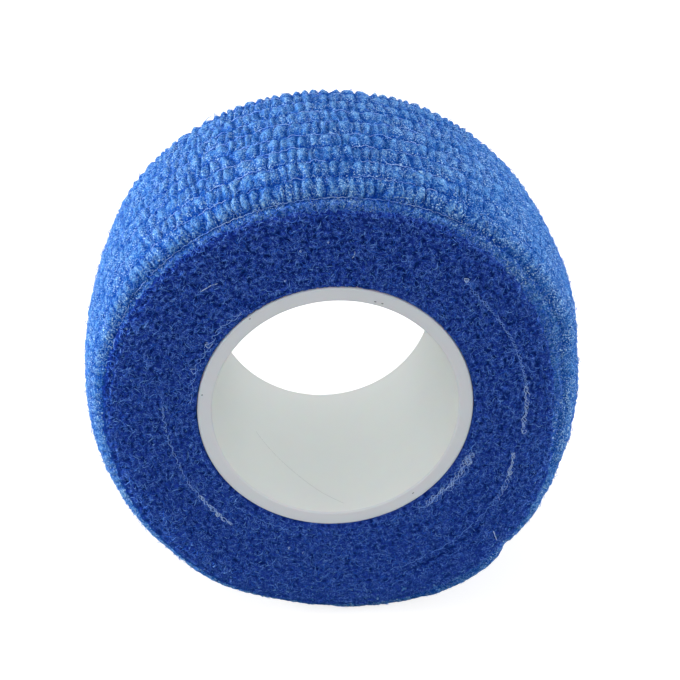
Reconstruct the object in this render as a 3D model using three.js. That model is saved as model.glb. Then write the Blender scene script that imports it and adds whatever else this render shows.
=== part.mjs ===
// A cohesive bandage roll: one length of blue crepe wound on a white plastic core.
// Millimetres, +Z up. The roll's axis lies along Y, its front face looks towards -Y,
// and the origin is at the middle of the roll's outer box, on the surface it rests on.
import * as THREE from 'three';

const RAD = Math.PI / 180;

// Driving dimensions
const CLOTH_WIDTH = 25.4;       // one inch, the width of the bandage and of its core
const CORE_RADIUS = 14.6;
const CORE_WALL = 1.55;
const CORE_EDGE = 0.25;         // worn edge of the cut tube
const CLEARANCE = 0.32;         // between the core and the innermost turn
const MIDDLE_RADIUS = 27.5;     // of the outermost turn, half-way along the roll
const LAYER = 0.65;             // thickness of one pressed turn
const TAIL_ANGLE = -47;         // degrees from +X towards +Z, where the cut end lies
const TAIL_WALL = 0.6;          // degrees over which the cut end steps down
const RIB_DEPTH = 0.45;         // from a rib's crest down to the elastic thread beside it
const EDGE_RIB_DEPTH = 0.12;    // the same at the thread that lies on the front rim
const EDGE_THREAD = 0.22;       // how far behind the front face that first thread lies
const FIRST_THREAD = 1.3;       // how far behind it the second one lies
const THREAD_PITCH = 3.11;
const THREADS_BEHIND = 8;       // threads from FIRST_THREAD to the back rim
const RIM_REACH = 9;            // depth at which the front rim's own swelling dies out
const REST_RADIUS = 27.05;      // the flat spot's distance below the axis

// Mesh steps
const TURN_STEPS = 72;
const RIB_STEPS = 4;
const CORE_STEPS = 72;

// The crests of the outermost turn, from the front face to the back one.
const CROWN = [
  { depth: 0.0, radius: 22.9 },
  { depth: 0.08, radius: 23.95 },
  { depth: 0.3, radius: 25.0 },
  { depth: 0.7, radius: 25.85 },
  { depth: 1.3, radius: 26.25 },
  { depth: 2.4, radius: 26.6 },
  { depth: 4.5, radius: 26.95 },
  { depth: 7.5, radius: 27.27 },
  { depth: 11.0, radius: MIDDLE_RADIUS },
  { depth: 15.5, radius: MIDDLE_RADIUS },
  { depth: 19.5, radius: 27.35 },
  { depth: 22.5, radius: 27.13 },
  { depth: 24.2, radius: 26.95 },
  { depth: 25.0, radius: 26.15 },
  { depth: CLOTH_WIDTH, radius: 24.9 },
];

// How uneven the winding is. Turn is in degrees back from the cut end, clockwise as seen
// from the front. Swell lifts the whole width, and rim lifts the front rim alone: the last
// stretch of the bandage is a little loose, so it stands off most just before its end.
const WINDING = [
  { turn: 0, swell: LAYER, rim: 1.1 },
  { turn: 7, swell: 0.7, rim: 1.6 },
  { turn: 13, swell: 0.7, rim: 1.7 },
  { turn: 19, swell: 0.6, rim: 1.64 },
  { turn: 25, swell: 0.4, rim: 1.21 },
  { turn: 31, swell: 0.25, rim: 0.94 },
  { turn: 38, swell: 0.15, rim: 0.71 },
  { turn: 48, swell: 0.1, rim: 0.31 },
  { turn: 58, swell: 0.1, rim: 0.23 },
  { turn: 73, swell: 0.1, rim: 0.4 },
  { turn: 93, swell: -0.05, rim: -0.2 },
  { turn: 113, swell: -0.35, rim: -0.2 },
  { turn: 133, swell: -0.35, rim: -0.18 },
  { turn: 153, swell: -0.26, rim: 0 },
  { turn: 173, swell: 0.18, rim: 0 },
  { turn: 193, swell: 0.16, rim: 0 },
  { turn: 229, swell: 0.14, rim: 0 },
  { turn: 247, swell: 0.32, rim: 0 },
  { turn: 263, swell: 0.34, rim: 0 },
  { turn: 277, swell: 0.49, rim: 0 },
  { turn: 291, swell: 0.47, rim: 0 },
  { turn: 305, swell: -0.2, rim: -0.18 },
  { turn: 319, swell: -0.2, rim: -0.25 },
  { turn: 331, swell: 0.1, rim: -0.28 },
  { turn: 341, swell: 0.1, rim: 0.23 },
  { turn: 349, swell: 0.05, rim: 0.93 },
  { turn: 356, swell: 0, rim: 1.15 },
  { turn: 360, swell: 0, rim: 1.2 },
];

// Reads column `name` of a table at `at`, where its key column is `key`.
function lookUp(table, key, name, at, ease) {
  let row = 0;
  while (row < table.length - 2 && table[row + 1][key] <= at) row += 1;
  const here = table[row];
  const next = table[row + 1];
  const share = THREE.MathUtils.clamp((at - here[key]) / (next[key] - here[key]), 0, 1);
  return here[name] + (next[name] - here[name]) * ease(share);
}

const straight = (share) => share;
const eased = (share) => 0.5 - 0.5 * Math.cos(Math.PI * share);

// Depths of the nine elastic threads behind the front face.
function threadDepths() {
  const behind = Array.from({ length: THREADS_BEHIND }, (_, k) => FIRST_THREAD + k * THREAD_PITCH);
  return [EDGE_THREAD, ...behind];
}

// One rib between two threads: points from just behind the first thread up to the second.
function ribPoints(from, to, fromDrop) {
  const points = [];
  for (let step = 1; step <= RIB_STEPS; step += 1) {
    const share = step / RIB_STEPS;
    const depth = from + (to - from) * share;
    const floor = fromDrop + (RIB_DEPTH - fromDrop) * share;
    const drop = floor * (1 - Math.sqrt(Math.sin(Math.PI * share)));
    points.push({ depth, radius: lookUp(CROWN, 'depth', 'radius', depth, straight) - drop, free: true });
  }
  return points;
}

// The closed section of the winding: hole, front face, ribbed tread, back face.
// Points marked free follow the winding's swell, and the others stay on the true circle.
function windingSection() {
  const hole = CORE_RADIUS + CLEARANCE;
  const middleFace = (hole + CROWN[0].radius) / 2;
  const last = CROWN.length - 1;
  const threads = threadDepths();
  const onCrown = (row) => ({ depth: row.depth, radius: row.radius, free: true });
  const section = [
    { depth: CLOTH_WIDTH, radius: hole, free: false },
    { depth: 0, radius: hole, free: false },
    { depth: 0, radius: middleFace, free: false },
    onCrown(CROWN[0]),
    onCrown(CROWN[1]),
  ];
  const rimRadius = lookUp(CROWN, 'depth', 'radius', EDGE_THREAD, straight);
  section.push({ depth: EDGE_THREAD, radius: rimRadius - EDGE_RIB_DEPTH, free: true });
  for (let k = 1; k < threads.length; k += 1) {
    section.push(...ribPoints(threads[k - 1], threads[k], k === 1 ? EDGE_RIB_DEPTH : RIB_DEPTH));
  }
  for (let row = last - 2; row <= last; row += 1) section.push(onCrown(CROWN[row]));
  section.push({ depth: CLOTH_WIDTH, radius: middleFace, free: false });
  return section;
}

// How far a free point at this turn and depth stands off the even crown.
function standOff(turn, depth) {
  const fade = Math.max(0, 1 - depth / RIM_REACH) ** 2;
  const swell = lookUp(WINDING, 'turn', 'swell', turn, eased);
  return swell + fade * lookUp(WINDING, 'turn', 'rim', turn, eased);
}

// The wound bandage: its section carried once round the axis, from the cut end back to it.
function bandageGeometry() {
  const section = windingSection();
  const positions = [];
  for (let step = 0; step <= TURN_STEPS; step += 1) {
    const turn = (360 - TAIL_WALL) * (step / TURN_STEPS);
    const angle = (TAIL_ANGLE - turn) * RAD;
    for (const point of section) {
      const radius = point.radius + (point.free ? standOff(turn, point.depth) : 0);
      const height = Math.max(radius * Math.sin(angle), -REST_RADIUS);
      positions.push(radius * Math.cos(angle), point.depth, height);
    }
  }
  const columns = TURN_STEPS + 1;
  const rows = section.length;
  const index = [];
  for (let column = 0; column < columns; column += 1) {
    const nextColumn = (column + 1) % columns;
    for (let row = 0; row < rows; row += 1) {
      const nextRow = (row + 1) % rows;
      const a = column * rows + row;
      const b = column * rows + nextRow;
      const c = nextColumn * rows + nextRow;
      const d = nextColumn * rows + row;
      index.push(a, c, b, a, d, c);
    }
  }
  const geometry = new THREE.BufferGeometry();
  geometry.setAttribute('position', new THREE.Float32BufferAttribute(positions, 3));
  geometry.setIndex(index);
  geometry.computeVertexNormals();
  return geometry;
}

// The core: a plain tube with a slightly broken edge at both ends.
function coreGeometry() {
  const inside = CORE_RADIUS - CORE_WALL;
  const back = CLOTH_WIDTH;
  const profile = [
    [inside, CORE_EDGE],
    [inside + CORE_EDGE, 0],
    [CORE_RADIUS - CORE_EDGE, 0],
    [CORE_RADIUS, CORE_EDGE],
    [CORE_RADIUS, back - CORE_EDGE],
    [CORE_RADIUS - CORE_EDGE, back],
    [inside + CORE_EDGE, back],
    [inside, back - CORE_EDGE],
    [inside, CORE_EDGE],
  ].map(([radius, along]) => new THREE.Vector2(radius, along));
  return new THREE.LatheGeometry(profile, CORE_STEPS);
}

function namedMesh(name, geometry, finish) {
  const mesh = new THREE.Mesh(geometry, new THREE.MeshStandardMaterial(finish));
  mesh.name = name;
  return mesh;
}

const roll = new THREE.Group();
roll.add(
  namedMesh('core', coreGeometry(), { color: 0xd9dcdc, roughness: 0.35, metalness: 0 }),
  namedMesh('bandage', bandageGeometry(), { color: 0x2b63bd, roughness: 0.9, metalness: 0 }),
);

// The origin goes to the middle of the outer box, at its lowest level.
const box = new THREE.Box3().setFromObject(roll);
const middle = box.getCenter(new THREE.Vector3());
roll.position.set(-middle.x, -middle.y, -box.min.z);

export default roll;
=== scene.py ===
"""The looks of a cohesive bandage roll: blue crepe wound on a white plastic core.

Shapes are worked out in millimetres about the roll's own axis, by a turn angle, a distance
from the axis and a depth behind the front face. Roll.place() carries them into the frame.
"""

import logging
import math
from dataclasses import dataclass, field
from enum import Enum

import bpy
import numpy as np
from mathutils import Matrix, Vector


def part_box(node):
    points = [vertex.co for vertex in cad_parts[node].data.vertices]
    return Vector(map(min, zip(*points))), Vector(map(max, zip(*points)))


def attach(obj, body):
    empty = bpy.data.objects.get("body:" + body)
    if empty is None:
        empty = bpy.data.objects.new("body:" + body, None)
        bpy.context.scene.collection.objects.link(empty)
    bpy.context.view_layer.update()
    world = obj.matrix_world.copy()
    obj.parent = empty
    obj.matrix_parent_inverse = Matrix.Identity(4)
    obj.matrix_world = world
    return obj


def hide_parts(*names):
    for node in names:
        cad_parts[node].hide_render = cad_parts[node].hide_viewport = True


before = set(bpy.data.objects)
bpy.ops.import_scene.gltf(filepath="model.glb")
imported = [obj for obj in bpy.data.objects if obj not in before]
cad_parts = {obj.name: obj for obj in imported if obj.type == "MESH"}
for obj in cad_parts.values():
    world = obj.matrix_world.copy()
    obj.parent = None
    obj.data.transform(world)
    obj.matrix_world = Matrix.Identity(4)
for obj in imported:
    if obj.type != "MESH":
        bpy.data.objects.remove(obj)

Array = np.ndarray
Part = tuple[Array, list[Array]]
Colour = tuple[float, float, float, float]
Piece = bpy.types.Object
Tree = bpy.types.NodeTree
Socket = bpy.types.NodeSocket

LOG = logging.getLogger("bandage_roll")
MM = 0.001
BODY = "root"

# Crests of the outermost turn, from the front face to the back one, in millimetres; then the
# same places at the top of the roll, where the front rim has slumped.
CROWN = np.array(
    [
        (0.0, 22.9, 0.0, 22.75), (0.08, 23.95, 0.12, 23.6), (0.3, 25.0, 0.45, 24.45),
        (0.7, 25.85, 0.95, 25.25), (1.3, 26.25, 1.5, 25.85), (2.4, 26.6, 2.5, 26.45),
        (4.5, 26.95, 4.5, 26.95), (7.5, 27.27, 7.5, 27.27), (11.0, 27.5, 11.0, 27.5),
        (15.5, 27.5, 15.5, 27.5), (19.5, 27.35, 19.5, 27.35), (22.5, 27.13, 22.5, 27.13),
        (24.2, 26.95, 24.2, 26.95), (25.0, 26.15, 25.0, 26.15), (25.4, 24.9, 25.4, 24.9),
    ],
    dtype=[("depth", float), ("radius", float), ("soft_depth", float), ("soft_radius", float)],
)

# How uneven the winding is: degrees back from the cut end, then millimetres of swelling over
# the whole width and of the front rim's own.
WINDING = np.array(
    [
        (0, 0.65, 1.1), (7, 0.7, 1.6), (13, 0.7, 1.7), (19, 0.6, 1.72), (25, 0.4, 1.5),
        (31, 0.25, 1.35), (38, 0.15, 1.1), (48, 0.1, 0.55), (58, 0.1, 0.23), (73, 0.1, 0.4),
        (93, -0.05, -0.2), (113, -0.35, -0.2), (133, -0.35, -0.18), (153, -0.26, 0.0),
        (173, 0.18, 0.0), (193, 0.16, 0.0), (229, 0.14, 0.0), (247, 0.32, 0.0), (263, 0.34, 0.0),
        (277, 0.49, 0.0), (291, 0.47, 0.0), (305, -0.2, -0.18), (319, -0.2, -0.25),
        (331, 0.1, -0.28), (341, 0.1, 0.23), (349, 0.05, 0.93), (356, 0.0, 1.15), (360, 0.0, 1.2),
    ],
    dtype=[("turn", float), ("swell", float), ("rim", float)],
)


class End(Enum):
    """The two end faces of the roll; the value is the sign of the way out along Y."""

    FRONT = -1
    BACK = 1


# ---------------------------------------------------------------- numbers and meshes


def srgb(red: int, green: int, blue: int) -> Colour:
    """Turns an 8-bit display colour into a linear one, by the sRGB curve.

    Args:
        red, green, blue: display values from 0 to 255.

    Returns:
        Linear red, green, blue and an alpha of one.
    """
    shares = [value / 255 for value in (red, green, blue)]
    linear = [s / 12.92 if s <= 0.04045 else ((s + 0.055) / 1.055) ** 2.4 for s in shares]
    return (*linear, 1.0)


def smoothstep(low: float, high: float, value: Array) -> Array:
    """Goes from 0 at low to 1 at high as 3 t squared less 2 t cubed; low may be the higher."""
    share = np.clip((value - low) / (high - low), 0.0, 1.0)
    return share * share * (3.0 - 2.0 * share)


def dome(share: Array, power: float) -> Array:
    """A pillow over 0..1: the sine of half a turn, raised to a power under one for steep sides."""
    return np.clip(np.sin(np.pi * np.clip(share, 0.0, 1.0)), 0.0, 1.0) ** power


class Ripple:
    """Smooth noise between about -1 and 1 on a lattice that repeats.

    Each lattice corner has a random slope. A point blends the heights that its four corners'
    slopes give, by the fifth-power fade 6 t^5 - 15 t^4 + 10 t^3.
    """

    def __init__(self, seed: int, across: int = 256, along: int = 256) -> None:
        """Draws the slopes of an across by along lattice from the seed.

        Args:
            seed: the generator's seed.
            across, along: lattice cells each way.
        """
        self.size = (across, along)
        angles = np.random.default_rng(seed).uniform(0.0, 2.0 * np.pi, self.size)
        self.slopes = np.stack([np.cos(angles), np.sin(angles)], axis=-1)

    def at(self, u: Array, v: Array) -> Array:
        """Gives the noise at lattice coordinates.

        Args:
            u, v: arrays of one shape, in lattice cells.

        Returns:
            Noise of the same shape.
        """
        u, v = np.broadcast_arrays(np.asarray(u, float), np.asarray(v, float))
        iu, iv = np.floor(u).astype(int), np.floor(v).astype(int)
        fu, fv = u - iu, v - iv

        def corner(du: int, dv: int) -> Array:
            """The height that the slope of the corner du, dv cells on gives at each point."""
            slope = self.slopes[(iu + du) % self.size[0], (iv + dv) % self.size[1]]
            return slope[..., 0] * (fu - du) + slope[..., 1] * (fv - dv)

        wu = fu**3 * (fu * (6.0 * fu - 15.0) + 10.0)
        wv = fv**3 * (fv * (6.0 * fv - 15.0) + 10.0)
        near = corner(0, 0) * (1.0 - wu) + corner(1, 0) * wu
        far = corner(0, 1) * (1.0 - wu) + corner(1, 1) * wu
        return 1.5 * (near * (1.0 - wv) + far * wv)

    def around(self, turn: Array, v: Array | float) -> Array:
        """Gives the noise round the roll, with the whole lattice in 360 degrees of turn."""
        return self.at(turn / 360.0 * self.size[0], v)


def ring_quads(columns: int, rows: int) -> Array:
    """Quads of a grid that closes on itself both ways, as on a ring; vertices run row by row.

    Args:
        columns: vertices round the ring.
        rows: vertices round its section.

    Returns:
        Four vertex numbers for each face.
    """
    column, row = np.meshgrid(np.arange(columns), np.arange(rows), indexing="ij")
    next_column, next_row = (column + 1) % columns, (row + 1) % rows
    corners = [(column, row), (column, next_row), (next_column, next_row), (next_column, row)]
    return np.stack([c * rows + r for c, r in corners], axis=-1).reshape(-1, 4)


def facing_out(points: Array, faces: Array) -> Array:
    """Turns a closed shell's faces over if the volume they enclose is negative.

    The volume is a sixth of the sum, over the fan of each face, of a . (b x c).

    Args:
        points: vertices, n by 3.
        faces: vertex numbers, face by corner.

    Returns:
        The faces, all of them pointing outward.
    """
    volume = 0.0
    for k in range(1, faces.shape[1] - 1):
        a, b, c = (points[faces[:, i]] for i in (0, k, k + 1))
        volume += np.einsum("ij,ij->", a, np.cross(b, c))
    return faces if volume > 0 else faces[:, ::-1]


def mesh_object(name: str, points: Array, faces: list[Array], layers: dict[str, Array]) -> Piece:
    """Puts whole arrays into a smooth-shaded mesh object at the origin.

    Args:
        name: the piece's name.
        points: vertices in metres, n by 3.
        faces: arrays of vertex numbers, one array for each number of corners.
        layers: named values, one for each vertex.

    Returns:
        The object, linked into the scene.
    """
    mesh = bpy.data.meshes.new(name)
    mesh.vertices.add(len(points))
    mesh.vertices.foreach_set("co", points.astype(np.float32).ravel())
    corners = np.concatenate([f.ravel() for f in faces]).astype(np.int32)
    sizes = np.concatenate([np.full(len(f), f.shape[1]) for f in faces])
    mesh.loops.add(len(corners))
    mesh.loops.foreach_set("vertex_index", corners)
    mesh.polygons.add(len(sizes))
    mesh.polygons.foreach_set("loop_start", (np.cumsum(sizes) - sizes).astype(np.int32))
    mesh.update(calc_edges=True)
    mesh.shade_smooth()
    for layer, values in layers.items():
        attribute = mesh.attributes.new(layer, "FLOAT", "POINT")
        attribute.data.foreach_set("value", values.astype(np.float32).ravel())
    thing = bpy.data.objects.new(name, mesh)
    bpy.context.scene.collection.objects.link(thing)
    return thing


def shell(name: str, outside: Array, inside: Array, level: Array, stir: Array) -> Piece:
    """Closes a surface round the roll with rows inside it, and makes a mesh object of both.

    Args:
        name: the piece's name.
        outside, inside: points in metres, column by row, at the same turns.
        level: heights from 0 to 1 of the outside. Those of the inside are 0.
        stir: how much of its mottle the outside shows. The inside shows all.

    Returns:
        The object.
    """
    points = np.concatenate([outside, inside], axis=1)
    columns, rows = points.shape[:2]
    hidden = inside.shape[:2]
    layers = {
        "level": np.concatenate([level, np.zeros(hidden)], axis=1),
        "stir": np.concatenate([stir, np.ones(hidden)], axis=1),
    }
    points = points.reshape(-1, 3)
    return mesh_object(name, points, [facing_out(points, ring_quads(columns, rows))], layers)


def along_y(points: Array, way: float) -> Array:
    """Unit vectors along Y, one for each point.

    Args:
        points: an array of points.
        way: 1 or -1.

    Returns:
        Vectors of the same shape.
    """
    vectors = np.zeros_like(points)
    vectors[..., 1] = way
    return vectors


def tubes(paths: Array, up: Array, radii: Array, sides: int) -> Part:
    """Thin closed tubes with pointed ends, many at a time.

    A path's tangent t and its up vector give the section's two directions, t x up and up.
    Ring k is the path's point plus radius times the cosine and sine of each side's angle
    along them, and the first and last points are the tips. A path lower than its radius is
    raised to it, so that no tube goes below the ground.

    Args:
        paths: tube by point by 3.
        up: the same shape, unit vectors across each path.
        radii: tube by point.
        sides: corners of the section.

    Returns:
        Vertices and a list of the quads and the tip triangles, which face outward.
    """
    count, length = paths.shape[:2]
    heights = np.maximum(paths[..., 2:], radii[..., None])
    paths = np.concatenate([paths[..., :2], heights], axis=-1)
    tangent = np.gradient(paths, axis=1)
    tangent /= np.linalg.norm(tangent, axis=-1, keepdims=True) + 1e-12
    side = np.cross(tangent, up)
    side /= np.linalg.norm(side, axis=-1, keepdims=True) + 1e-12
    over = np.cross(side, tangent)
    angle = (2.0 * np.pi * np.arange(sides) / sides)[:, None]
    ring = np.cos(angle) * side[:, :, None, :] + np.sin(angle) * over[:, :, None, :]
    rings = paths[:, 1:-1, None, :] + radii[:, 1:-1, None, None] * ring[:, 1:-1]
    inner = length - 2
    block = inner * sides + 2
    points = np.concatenate(
        [rings.reshape(count, inner * sides, 3), paths[:, :1], paths[:, -1:]], axis=1
    ).reshape(-1, 3)
    base = (np.arange(count) * block)[:, None, None]
    k, s = np.meshgrid(np.arange(inner - 1), np.arange(sides), indexing="ij")
    t = (s + 1) % sides
    quads = np.stack(
        [k * sides + s, (k + 1) * sides + s, (k + 1) * sides + t, k * sides + t], axis=-1
    ).reshape(1, -1, 4) + base
    s = np.arange(sides)
    t = (s + 1) % sides
    first = np.full(sides, inner * sides)
    near = np.stack([first, s, t], axis=-1)
    far = np.stack([first + 1, (inner - 1) * sides + t, (inner - 1) * sides + s], axis=-1)
    tips = np.concatenate([near, far])[None] + base
    return points, [quads.reshape(-1, 4), tips.reshape(-1, 3)]


def joined(parts: list[Part]) -> Part:
    """Joins several meshes' vertices and faces into one.

    Args:
        parts: each mesh's vertices and arrays of faces.

    Returns:
        All the vertices, and the faces numbered anew.
    """
    points, shifted, start = [], [], 0
    for vertices, faces in parts:
        points.append(vertices)
        shifted += [f + start for f in faces]
        start += len(vertices)
    return np.concatenate(points), shifted


# ---------------------------------------------------------------- the roll's own shape


@dataclass
class Roll:
    """The wound form that every cloth piece follows, in millimetres and degrees."""

    width: float = 25.4
    core_radius: float = 14.6
    core_wall: float = 1.55
    clearance: float = 0.32
    layer: float = 0.65
    tail_angle: float = -43.5
    cut_back: float = 2.6
    tail_wall: float = 0.6
    thread_depths: tuple[float, ...] = (0.22, 1.72, 4.32, 7.35, 10.35, 13.75, 16.95, 20.2, 23.2)
    rim_reach: float = 9.0
    rest_radius: float = 27.05
    top_angle: float = 92.0
    rest_angle: float = -84.0
    dip: float = 0.95
    axis: Array = field(init=False)
    curve: Array = field(init=False)
    threads: Array = field(init=False)

    def __post_init__(self) -> None:
        """Reads the axis from the core's box and lays out the tread's section."""
        low, high = (np.array(corner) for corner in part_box("core"))
        self.axis = np.array([(low[0] + high[0]) / 2, low[1], (low[2] + high[2]) / 2])
        self.curve = self.tread_section()
        self.threads = np.interp(self.thread_depths, self.curve["depth"], self.curve["run"])

    @property
    def hole(self) -> float:
        """Radius of the innermost turn."""
        return self.core_radius + self.clearance

    @staticmethod
    def tread_section(step: float = 0.04, spread: float = 0.3) -> Array:
        """The tread's section as a smooth curve with its outward normals.

        The crown's table is walked at even steps, and its coordinates are averaged with a
        bell-shaped weight. The normal is the curve's direction turned a quarter.

        Args:
            step: millimetres between points.
            spread: the bell's standard deviation, in millimetres.

        Returns:
            Rows of run (distance along), depth, radius, both again where the rim has slumped,
            and the normal along both.
        """
        steps = np.hypot(np.diff(CROWN["depth"]), np.diff(CROWN["radius"]))
        run = np.concatenate([[0], np.cumsum(steps)])
        even = np.arange(-1.2, run[-1] + 1.2, step)
        reach = int(3 * spread / step)
        bell = np.exp(-0.5 * (np.arange(-reach, reach + 1) * step / spread) ** 2)
        bell /= bell.sum()
        keep = slice(reach, len(even) - reach)
        names = ("run", "depth", "radius", "soft_depth", "soft_radius", "out_depth", "out_radius")
        curve = np.zeros(len(even[keep]), dtype=[(n, float) for n in names])
        curve["run"] = even[keep]
        for name in names[1:5]:
            values = np.interp(even, run, CROWN[name])
            if name.endswith("radius"):
                values += np.minimum(even, 0.0) - np.maximum(even - run[-1], 0.0)
            curve[name] = np.convolve(np.pad(values, reach, "edge"), bell, "valid")[keep]
        away = np.stack([-np.gradient(curve["radius"]), np.gradient(curve["depth"])], axis=-1)
        away /= np.linalg.norm(away, axis=-1, keepdims=True)
        curve["out_depth"], curve["out_radius"] = away.T
        return curve

    def angle(self, turn: Array) -> Array:
        """A turn's angle from +X towards +Z, in radians."""
        return np.radians(self.tail_angle - turn)

    def apart(self, turn: Array, angle: float) -> Array:
        """Degrees between a turn and a place round the roll, the shorter way."""
        return np.abs((self.tail_angle - turn - angle + 180.0) % 360.0 - 180.0)

    def slump(self, turn: Array) -> Array:
        """How far the front rim has slumped: all of it at the top of the roll, none at its sides."""
        return smoothstep(-58.0, -14.0, -self.apart(turn, self.top_angle))

    def press(self, turn: Array) -> Array:
        """How far the crepe is flattened under the roll: all of it at the bottom."""
        return smoothstep(-50.0, -36.0, -self.apart(turn, self.rest_angle))

    def section_at(self, turn: Array, run: Array) -> tuple[Array, ...]:
        """Reads the even tread.

        Args:
            turn: degrees back from the cut end.
            run: millimetres along the section.

        Returns:
            Depth, radius, and the outward normal along both.
        """
        share = self.slump(turn)
        names = self.curve.dtype.names[1:]
        here = {name: np.interp(run, self.curve["run"], self.curve[name]) for name in names}
        depth = here["depth"] + share * (here["soft_depth"] - here["depth"])
        radius = here["radius"] + share * (here["soft_radius"] - here["radius"])
        radius = radius + self.stand_off(turn, depth)
        return depth, radius, here["out_depth"], here["out_radius"]

    def stand_off(self, turn: Array, depth: Array) -> Array:
        """How far the winding stands off its even crown.

        Between two rows of the table a value eases by half a cosine wave. The rim's own share,
        less a dip just behind the cut end, dies out as the square of what is left of its
        reach.

        Args:
            turn: degrees back from the cut end.
            depth: millimetres behind the front face.

        Returns:
            Millimetres to be added to the even radius.
        """
        dip = self.dip * smoothstep(4.6, 0.6, turn)
        turn = np.clip(turn - self.cut_back, 0.0, 360.0)
        row = np.clip(np.searchsorted(WINDING["turn"], turn, side="right") - 1, 0, len(WINDING) - 2)
        here, there = WINDING[row], WINDING[row + 1]
        share = 0.5 - 0.5 * np.cos(np.pi * (turn - here["turn"]) / (there["turn"] - here["turn"]))
        swell = here["swell"] + (there["swell"] - here["swell"]) * share
        rim = here["rim"] + (there["rim"] - here["rim"]) * share - dip
        return swell + rim * np.clip(1.0 - depth / self.rim_reach, 0.0, 1.0) ** 2

    def turns(self, columns: int) -> Array:
        """Even turn angles from the cut end back to the foot of its step."""
        return np.linspace(0.0, 360.0 - self.tail_wall, columns)

    def place(self, turn: Array, radius: Array | float, depth: Array | float) -> Array:
        """Carries turn, radius and depth into the frame, in metres, flat where the roll rests.

        Args:
            turn: degrees back from the cut end.
            radius: millimetres from the axis.
            depth: millimetres behind the front face.

        Returns:
            Points, with X, Y and Z last.
        """
        angle = self.angle(turn)
        height = np.maximum(radius * np.sin(angle), -self.rest_radius)
        local = np.stack(np.broadcast_arrays(radius * np.cos(angle), depth, height), axis=-1)
        return local * MM + self.axis

    def place_angle(self, angle: Array, radius: Array | float, depth: Array | float) -> Array:
        """The same as place(), by the angle from +X towards +Z."""
        return self.place(self.tail_angle - np.asarray(angle, float), radius, depth)

    def raised(self, turn: Array, run: Array, rise: Array) -> Array:
        """Places points of the even tread, so many millimetres along its normal."""
        depth, radius, out_depth, out_radius = self.section_at(turn, run)
        return self.place(turn, radius + rise * out_radius, depth + rise * out_depth)

    def outward(self, points: Array) -> Array:
        """Unit vectors away from the axis, one for each point.

        Args:
            points: points in metres.

        Returns:
            Vectors of the same shape.
        """
        away = points - self.axis
        away[..., 1] = 0.0
        return away / np.linalg.norm(away, axis=-1, keepdims=True)


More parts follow.
